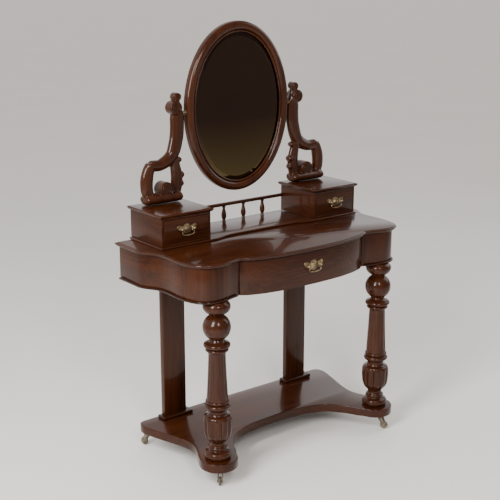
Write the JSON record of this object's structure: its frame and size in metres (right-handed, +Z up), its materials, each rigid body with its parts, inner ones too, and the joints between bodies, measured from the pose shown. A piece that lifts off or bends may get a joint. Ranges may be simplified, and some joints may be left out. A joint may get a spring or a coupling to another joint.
{
  "type": "dressing table with swing mirror",
  "caption": "Dressing table with a serpentine top, bow-fronted drawer, trinket boxes, spindle gallery, oval swing mirror on scroll brackets, turned front legs and a shaped shelf on castors.",
  "frame": {"origin": "on the floor, under the middle of the table's overall footprint", "axes": "+Z up, -Y out of the drawer fronts towards the user, +X to the user's right when facing the mirror (looking along +Y)"},
  "size_m": [0.982, 0.4738, 1.475],
  "materials": {
    "mahogany": "french-polished red-brown mahogany",
    "dark_mahogany": "polished, darker mahogany",
    "drawer_lining": "waxed, unpolished secondary wood",
    "aged_brass": "aged lacquered brass",
    "castor_metal": "dull, tarnished brass",
    "mirror_glass": "bevelled silvered plate"
  },
  "bodies": {
    "stand": {"table_top": "mahogany", "side_panel_left": "mahogany", "side_panel_right": "mahogany", "corner_block_left": "mahogany", "corner_block_right": "mahogany", "front_leg_left": "mahogany", "front_leg_right": "mahogany", "back_leg_left": "mahogany", "back_leg_right": "mahogany", "plinth_shelf": "mahogany", "platform_board": "mahogany", "box_case_left": "mahogany", "box_case_right": "mahogany", "box_lid_left": "mahogany", "box_lid_right": "mahogany", "gallery_rail": "mahogany", "spindle_1": "mahogany", "spindle_2": "mahogany", "spindle_3": "mahogany", "spindle_4": "mahogany", "mirror_bracket_left": "mahogany", "mirror_bracket_right": "mahogany", "bottom_bead_left": "dark_mahogany", "bottom_bead_right": "dark_mahogany", "back_rail": "dark_mahogany", "leg_collar_left": "dark_mahogany", "leg_collar_right": "dark_mahogany", "drawer_runner_frame": "drawer_lining", "castor_plate_front_left": "castor_metal", "castor_plate_front_right": "castor_metal", "castor_plate_back_left": "castor_metal", "castor_plate_back_right": "castor_metal"},
    "mirror": {"mirror_frame": "mahogany", "mirror_glass": "mirror_glass", "mirror_back_board": "drawer_lining", "mirror_pivot_left": "aged_brass", "mirror_pivot_right": "aged_brass"},
    "main_drawer": {"main_drawer_front": "mahogany", "main_drawer_side_left": "drawer_lining", "main_drawer_side_right": "drawer_lining", "main_drawer_back": "drawer_lining", "main_drawer_bottom": "drawer_lining", "main_handle_plate": "aged_brass"},
    "left_drawer": {"left_drawer_front": "mahogany", "left_drawer_tray": "drawer_lining", "left_handle_plate": "aged_brass"},
    "right_drawer": {"right_drawer_front": "mahogany", "right_drawer_tray": "drawer_lining", "right_handle_plate": "aged_brass"},
    "main_bail": {"main_handle_bail": "aged_brass"},
    "left_bail": {"left_handle_bail": "aged_brass"},
    "right_bail": {"right_handle_bail": "aged_brass"},
    "castor_front_left": {"castor_horn_front_left": "castor_metal"},
    "wheel_front_left": {"castor_wheel_front_left": "castor_metal"},
    "castor_front_right": {"castor_horn_front_right": "castor_metal"},
    "wheel_front_right": {"castor_wheel_front_right": "castor_metal"},
    "castor_back_left": {"castor_horn_back_left": "castor_metal"},
    "wheel_back_left": {"castor_wheel_back_left": "castor_metal"},
    "castor_back_right": {"castor_horn_back_right": "castor_metal"},
    "wheel_back_right": {"castor_wheel_back_right": "castor_metal"}
  },
  "joints": [
    {"name": "mirror_tilt", "type": "hinge", "parent": "stand", "child": "mirror", "pos_m": [0, 0.1899, 1.179], "axis": [1, 0, 0], "range_deg": [-35, 35]},
    {"name": "main_drawer_slide", "type": "slide", "parent": "stand", "child": "main_drawer", "axis": [0, -1, 0], "range_m": [0, 0.24]},
    {"name": "left_drawer_slide", "type": "slide", "parent": "stand", "child": "left_drawer", "axis": [0, -1, 0], "range_m": [0, 0.13]},
    {"name": "right_drawer_slide", "type": "slide", "parent": "stand", "child": "right_drawer", "axis": [0, -1, 0], "range_m": [0, 0.13]},
    {"name": "main_bail_swing", "type": "hinge", "parent": "main_drawer", "child": "main_bail", "pos_m": [0, -0.2324, 0.698], "axis": [-1, 0, 0], "range_deg": [0, 100]},
    {"name": "left_bail_swing", "type": "hinge", "parent": "left_drawer", "child": "left_bail", "pos_m": [-0.3285, 0.0266, 0.822], "axis": [-1, 0, 0], "range_deg": [0, 100]},
    {"name": "right_bail_swing", "type": "hinge", "parent": "right_drawer", "child": "right_bail", "pos_m": [0.3285, 0.0266, 0.822], "axis": [-1, 0, 0], "range_deg": [0, 100]},
    {"name": "castor_front_left_swivel", "type": "hinge", "parent": "stand", "child": "castor_front_left", "pos_m": [-0.359, -0.1841, 0.05], "axis": [0, 0, 1], "continuous": true},
    {"name": "castor_front_left_roll", "type": "hinge", "parent": "castor_front_left", "child": "wheel_front_left", "pos_m": [-0.37173, -0.19683, 0.015], "axis": [0.7071, -0.7071, 0], "continuous": true},
    {"name": "castor_front_right_swivel", "type": "hinge", "parent": "stand", "child": "castor_front_right", "pos_m": [0.359, -0.1981, 0.05], "axis": [0, 0, 1], "continuous": true},
    {"name": "castor_front_right_roll", "type": "hinge", "parent": "castor_front_right", "child": "wheel_front_right", "pos_m": [0.368, -0.21369, 0.015], "axis": [0.866, 0.5, 0], "continuous": true},
    {"name": "castor_back_left_swivel", "type": "hinge", "parent": "stand", "child": "castor_back_left", "pos_m": [-0.396, 0.1999, 0.05], "axis": [0, 0, 1], "continuous": true},
    {"name": "castor_back_left_roll", "type": "hinge", "parent": "castor_back_left", "child": "wheel_back_left", "pos_m": [-0.40216, 0.21681, 0.015], "axis": [-0.9397, -0.342, 0], "continuous": true},
    {"name": "castor_back_right_swivel", "type": "hinge", "parent": "stand", "child": "castor_back_right", "pos_m": [0.396, 0.1999, 0.05], "axis": [0, 0, 1], "continuous": true},
    {"name": "castor_back_right_roll", "type": "hinge", "parent": "castor_back_right", "child": "wheel_back_right", "pos_m": [0.40757, 0.21369, 0.015], "axis": [-0.766, 0.6428, 0], "continuous": true}
  ]
}
